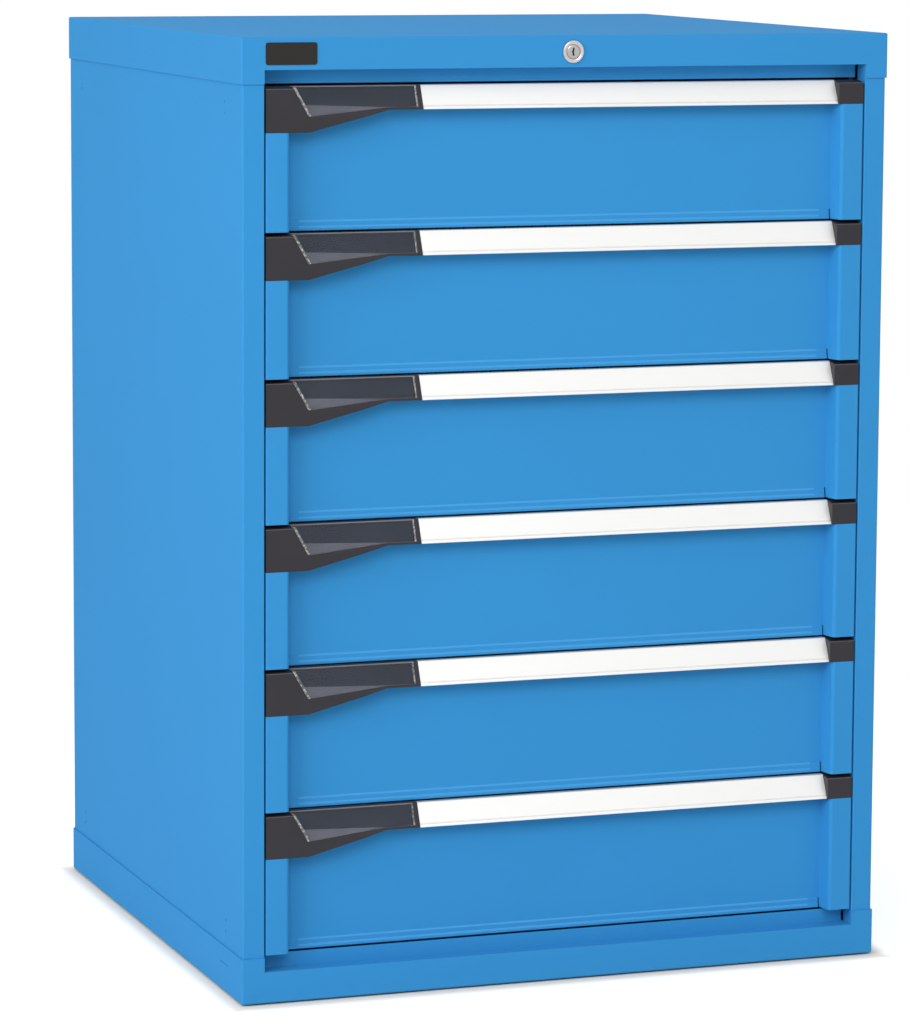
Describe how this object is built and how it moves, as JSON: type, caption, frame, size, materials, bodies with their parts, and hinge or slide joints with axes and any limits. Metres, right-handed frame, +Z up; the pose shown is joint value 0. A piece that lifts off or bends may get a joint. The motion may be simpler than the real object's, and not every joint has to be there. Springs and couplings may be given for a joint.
{
  "type": "drawer cabinet",
  "caption": "Sheet-steel modular cabinet with equal full-extension drawers, sloping aluminium grips with label holders, and a central lock in the header.",
  "frame": {"origin": "middle of the plan, on the floor", "axes": "+Z up, +X to the right seen from the front, the fronts face -Y"},
  "size_m": [0.717, 0.68, 1],
  "materials": {
    "blue_paint": "satin powder coat, fine texture",
    "grey_paint": "satin powder coat",
    "zinc_steel": "zinc-plated rolled steel",
    "anodised_aluminium": "natural anodised, satin, drawn along its length",
    "black_plastic": "moulded, satin",
    "clear_plastic": "clear, glossy",
    "lock_metal": "nickel plated"
  },
  "bodies": {
    "cabinet": {"base": "blue_paint", "top_cover": "blue_paint", "left_side_panel": "blue_paint", "right_side_panel": "blue_paint", "rear_panel": "blue_paint", "uprights": "zinc_steel", "left_fixed_rails": "zinc_steel", "right_fixed_rails": "zinc_steel", "lock_housing": "lock_metal"},
    "lock": {"lock_plug": "lock_metal", "lock_shaft": "zinc_steel"},
    "locking_bar": {"locking_bar": "zinc_steel"},
    "drawer_1": {"drawer_1_front": "blue_paint", "drawer_1_tray": "grey_paint", "drawer_1_handle": "anodised_aluminium", "drawer_1_label_holder": "black_plastic", "drawer_1_label_window": "clear_plastic", "drawer_1_end_cap": "black_plastic", "drawer_1_rails": "zinc_steel"},
    "drawer_1_runners": {"drawer_1_mid_rails": "zinc_steel"},
    "drawer_2": {"drawer_2_front": "blue_paint", "drawer_2_tray": "grey_paint", "drawer_2_handle": "anodised_aluminium", "drawer_2_label_holder": "black_plastic", "drawer_2_label_window": "clear_plastic", "drawer_2_end_cap": "black_plastic", "drawer_2_rails": "zinc_steel"},
    "drawer_2_runners": {"drawer_2_mid_rails": "zinc_steel"},
    "drawer_3": {"drawer_3_front": "blue_paint", "drawer_3_tray": "grey_paint", "drawer_3_handle": "anodised_aluminium", "drawer_3_label_holder": "black_plastic", "drawer_3_label_window": "clear_plastic", "drawer_3_end_cap": "black_plastic", "drawer_3_rails": "zinc_steel"},
    "drawer_3_runners": {"drawer_3_mid_rails": "zinc_steel"},
    "drawer_4": {"drawer_4_front": "blue_paint", "drawer_4_tray": "grey_paint", "drawer_4_handle": "anodised_aluminium", "drawer_4_label_holder": "black_plastic", "drawer_4_label_window": "clear_plastic", "drawer_4_end_cap": "black_plastic", "drawer_4_rails": "zinc_steel"},
    "drawer_4_runners": {"drawer_4_mid_rails": "zinc_steel"},
    "drawer_5": {"drawer_5_front": "blue_paint", "drawer_5_tray": "grey_paint", "drawer_5_handle": "anodised_aluminium", "drawer_5_label_holder": "black_plastic", "drawer_5_label_window": "clear_plastic", "drawer_5_end_cap": "black_plastic", "drawer_5_rails": "zinc_steel"},
    "drawer_5_runners": {"drawer_5_mid_rails": "zinc_steel"},
    "drawer_6": {"drawer_6_front": "blue_paint", "drawer_6_tray": "grey_paint", "drawer_6_handle": "anodised_aluminium", "drawer_6_label_holder": "black_plastic", "drawer_6_label_window": "clear_plastic", "drawer_6_end_cap": "black_plastic", "drawer_6_rails": "zinc_steel"},
    "drawer_6_runners": {"drawer_6_mid_rails": "zinc_steel"}
  },
  "joints": [
    {"name": "drawer_1_slide", "type": "slide", "parent": "cabinet", "child": "drawer_1", "axis": [0, -1, 0], "range_m": [0, 0.56]},
    {"name": "drawer_1_runner_slide", "type": "slide", "parent": "cabinet", "child": "drawer_1_runners", "axis": [0, -1, 0], "range_m": [0, 0.28]},
    {"name": "drawer_2_slide", "type": "slide", "parent": "cabinet", "child": "drawer_2", "axis": [0, -1, 0], "range_m": [0, 0.56]},
    {"name": "drawer_2_runner_slide", "type": "slide", "parent": "cabinet", "child": "drawer_2_runners", "axis": [0, -1, 0], "range_m": [0, 0.28]},
    {"name": "drawer_3_slide", "type": "slide", "parent": "cabinet", "child": "drawer_3", "axis": [0, -1, 0], "range_m": [0, 0.56]},
    {"name": "drawer_3_runner_slide", "type": "slide", "parent": "cabinet", "child": "drawer_3_runners", "axis": [0, -1, 0], "range_m": [0, 0.28]},
    {"name": "drawer_4_slide", "type": "slide", "parent": "cabinet", "child": "drawer_4", "axis": [0, -1, 0], "range_m": [0, 0.56]},
    {"name": "drawer_4_runner_slide", "type": "slide", "parent": "cabinet", "child": "drawer_4_runners", "axis": [0, -1, 0], "range_m": [0, 0.28]},
    {"name": "drawer_5_slide", "type": "slide", "parent": "cabinet", "child": "drawer_5", "axis": [0, -1, 0], "range_m": [0, 0.56]},
    {"name": "drawer_5_runner_slide", "type": "slide", "parent": "cabinet", "child": "drawer_5_runners", "axis": [0, -1, 0], "range_m": [0, 0.28]},
    {"name": "drawer_6_slide", "type": "slide", "parent": "cabinet", "child": "drawer_6", "axis": [0, -1, 0], "range_m": [0, 0.56]},
    {"name": "drawer_6_runner_slide", "type": "slide", "parent": "cabinet", "child": "drawer_6_runners", "axis": [0, -1, 0], "range_m": [0, 0.28]},
    {"name": "lock_turn", "type": "hinge", "parent": "cabinet", "child": "lock", "pos_m": [0, -0.32, 0.983], "axis": [0, -1, 0], "range_deg": [0, 90]},
    {"name": "locking_bar_lift", "type": "slide", "parent": "cabinet", "child": "locking_bar", "axis": [0, 0, 1], "range_m": [0, 0.01415]}
  ],
  "couplings": [
    {"joint": "drawer_1_runner_slide", "follows": "drawer_1_slide", "ratio": 0.5},
    {"joint": "drawer_2_runner_slide", "follows": "drawer_2_slide", "ratio": 0.5},
    {"joint": "drawer_3_runner_slide", "follows": "drawer_3_slide", "ratio": 0.5},
    {"joint": "drawer_4_runner_slide", "follows": "drawer_4_slide", "ratio": 0.5},
    {"joint": "drawer_5_runner_slide", "follows": "drawer_5_slide", "ratio": 0.5},
    {"joint": "drawer_6_runner_slide", "follows": "drawer_6_slide", "ratio": 0.5},
    {"joint": "lock_turn", "follows": "locking_bar_lift", "rad_per_m": 111.01}
  ]
}
